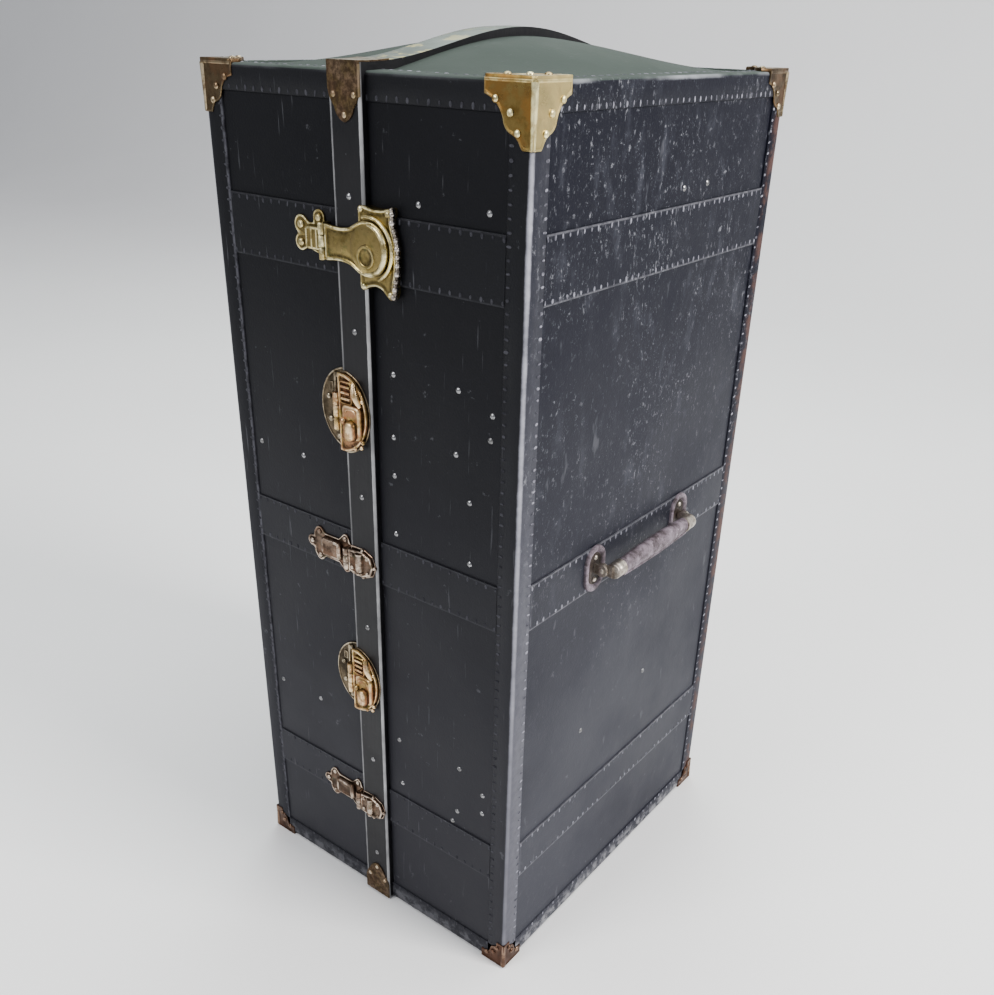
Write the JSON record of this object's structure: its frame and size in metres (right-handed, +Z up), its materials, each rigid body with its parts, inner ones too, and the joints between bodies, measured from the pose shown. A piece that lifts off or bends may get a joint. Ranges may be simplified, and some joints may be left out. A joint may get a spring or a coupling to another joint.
{
  "type": "wardrobe trunk",
  "caption": "Upright wardrobe trunk that opens like a book on a rear hinge, with front clasps and locks, carrying handles, drawers on one side and a hanging rail on the other.",
  "frame": {"origin": "on the floor, at the middle of the overall footprint", "axes": "+Z up; the closures face -Y; the drawer half, with its handle, is at +X and the hanging half at -X"},
  "size_m": [0.537, 0.5701, 1.1625],
  "materials": {
    "covered_board": "plywood covered in dark blue-black fibre, semi-gloss and scuffed",
    "fibre_binding": "stitched vulcanised fibre, satin",
    "painted_rim": "worn painted steel edge",
    "painted_strip": "painted metal strip, satin, worn at its edges",
    "brass_caps": "pressed brass, worn and tarnished",
    "bronze_caps": "dark tarnished brass",
    "clasp_brass": "antique brass",
    "lock_brass": "coppery lacquered brass, worn",
    "latch_bronze": "brown tarnished brass",
    "steel_rivets": "bright domed heads",
    "hinge_steel": "dull plated steel",
    "lining_cloth": "faded cloth-covered paper lining",
    "drawer_board": "thin board, stained",
    "drawer_cloth": "board drawer covered in faded cloth",
    "pull_leather": "brown leather",
    "handle_leather": "worn taupe leather, stitched",
    "handle_metal": "dull nickelled metal",
    "trolley_steel": "nickelled steel",
    "hanger_wood": "varnished beech"
  },
  "bodies": {
    "drawer_half": {"drawer_half_side_panel": "covered_board", "drawer_half_front_panel": "covered_board", "drawer_half_rear_panel": "covered_board", "drawer_half_bottom_panel": "covered_board", "drawer_half_top_panel": "covered_board", "drawer_half_closing_rim": "painted_rim", "drawer_half_edge_binding": "fibre_binding", "drawer_half_bands": "fibre_binding", "drawer_half_corner_caps": "brass_caps", "drawer_half_lining": "lining_cloth", "drawer_half_rivets": "steel_rivets", "drawer_half_hinge_leaves": "hinge_steel", "hinge_pins": "hinge_steel", "closing_strip_front": "painted_strip", "closing_strip_top": "painted_strip", "strip_end_caps": "bronze_caps", "strip_rivets": "steel_rivets", "clasp_strike": "clasp_brass", "clasp_guard": "clasp_brass", "lock_strikes": "lock_brass", "latch_strikes": "latch_bronze", "drawer_shelves": "drawer_board", "right_handle_brackets": "handle_metal"},
    "hanging_half": {"hanging_half_side_panel": "covered_board", "hanging_half_front_panel": "covered_board", "hanging_half_rear_panel": "covered_board", "hanging_half_bottom_panel": "covered_board", "hanging_half_top_panel": "covered_board", "hanging_half_closing_rim": "painted_rim", "hanging_half_edge_binding": "fibre_binding", "hanging_half_bands": "fibre_binding", "hanging_half_corner_caps": "brass_caps", "hanging_half_lining": "lining_cloth", "hanging_half_rivets": "steel_rivets", "hanging_half_hinge_leaves": "hinge_steel", "clasp_base": "clasp_brass", "lock_bases": "lock_brass", "latch_bases": "latch_bronze", "trolley_channels": "trolley_steel", "left_handle_brackets": "handle_metal"},
    "clasp": {"clasp_hasp": "clasp_brass"},
    "upper_lock": {"lock_hasp_upper": "lock_brass"},
    "lower_lock": {"lock_hasp_lower": "lock_brass"},
    "middle_latch": {"latch_lever_middle": "latch_bronze"},
    "lower_latch": {"latch_lever_lower": "latch_bronze"},
    "trolley": {"hanger_trolley": "trolley_steel", "garment_hangers": "hanger_wood"},
    "right_handle": {"right_handle_ferrules": "handle_metal", "right_handle_grip": "handle_leather"},
    "left_handle": {"left_handle_ferrules": "handle_metal", "left_handle_grip": "handle_leather"},
    "drawer_1": {"drawer_1": "drawer_cloth", "drawer_1_pull": "pull_leather"},
    "drawer_2": {"drawer_2": "drawer_cloth", "drawer_2_pull": "pull_leather"},
    "drawer_3": {"drawer_3": "drawer_cloth", "drawer_3_pull": "pull_leather"},
    "drawer_4": {"drawer_4": "drawer_cloth", "drawer_4_pull": "pull_leather"}
  },
  "joints": [
    {"name": "trunk_opening", "type": "hinge", "parent": "drawer_half", "child": "hanging_half", "pos_m": [-0.023, 0.28055, 0.56], "axis": [0, 0, -1], "range_deg": [0, 170]},
    {"name": "clasp_swing", "type": "hinge", "parent": "hanging_half", "child": "clasp", "pos_m": [-0.041, -0.27215, 0.95], "axis": [0, 0, -1], "range_deg": [0, 165]},
    {"name": "upper_lock_swing", "type": "hinge", "parent": "hanging_half", "child": "upper_lock", "pos_m": [-0.032, -0.27215, 0.758], "axis": [0, 0, -1], "range_deg": [0, 150]},
    {"name": "lower_lock_swing", "type": "hinge", "parent": "hanging_half", "child": "lower_lock", "pos_m": [-0.032, -0.27215, 0.381], "axis": [0, 0, -1], "range_deg": [0, 150]},
    {"name": "middle_latch_swing", "type": "hinge", "parent": "hanging_half", "child": "middle_latch", "pos_m": [-0.029, -0.27215, 0.563], "axis": [0, 0, -1], "range_deg": [0, 150]},
    {"name": "lower_latch_swing", "type": "hinge", "parent": "hanging_half", "child": "lower_latch", "pos_m": [-0.029, -0.27215, 0.168], "axis": [0, 0, -1], "range_deg": [0, 150]},
    {"name": "trolley_slide", "type": "slide", "parent": "hanging_half", "child": "trolley", "axis": [1, 0, 0], "range_m": [0, 0.17]},
    {"name": "right_handle_swing", "type": "hinge", "parent": "drawer_half", "child": "right_handle", "pos_m": [0.2435, 0.00725, 0.568], "axis": [0, 1, 0], "range_deg": [-75, 75]},
    {"name": "left_handle_swing", "type": "hinge", "parent": "hanging_half", "child": "left_handle", "pos_m": [-0.2435, 0.00725, 0.568], "axis": [0, 1, 0], "range_deg": [-75, 75]},
    {"name": "drawer_1_slide", "type": "slide", "parent": "drawer_half", "child": "drawer_1", "axis": [-1, 0, 0], "range_m": [0, 0.18]},
    {"name": "drawer_2_slide", "type": "slide", "parent": "drawer_half", "child": "drawer_2", "axis": [-1, 0, 0], "range_m": [0, 0.18]},
    {"name": "drawer_3_slide", "type": "slide", "parent": "drawer_half", "child": "drawer_3", "axis": [-1, 0, 0], "range_m": [0, 0.18]},
    {"name": "drawer_4_slide", "type": "slide", "parent": "drawer_half", "child": "drawer_4", "axis": [-1, 0, 0], "range_m": [0, 0.18]}
  ]
}
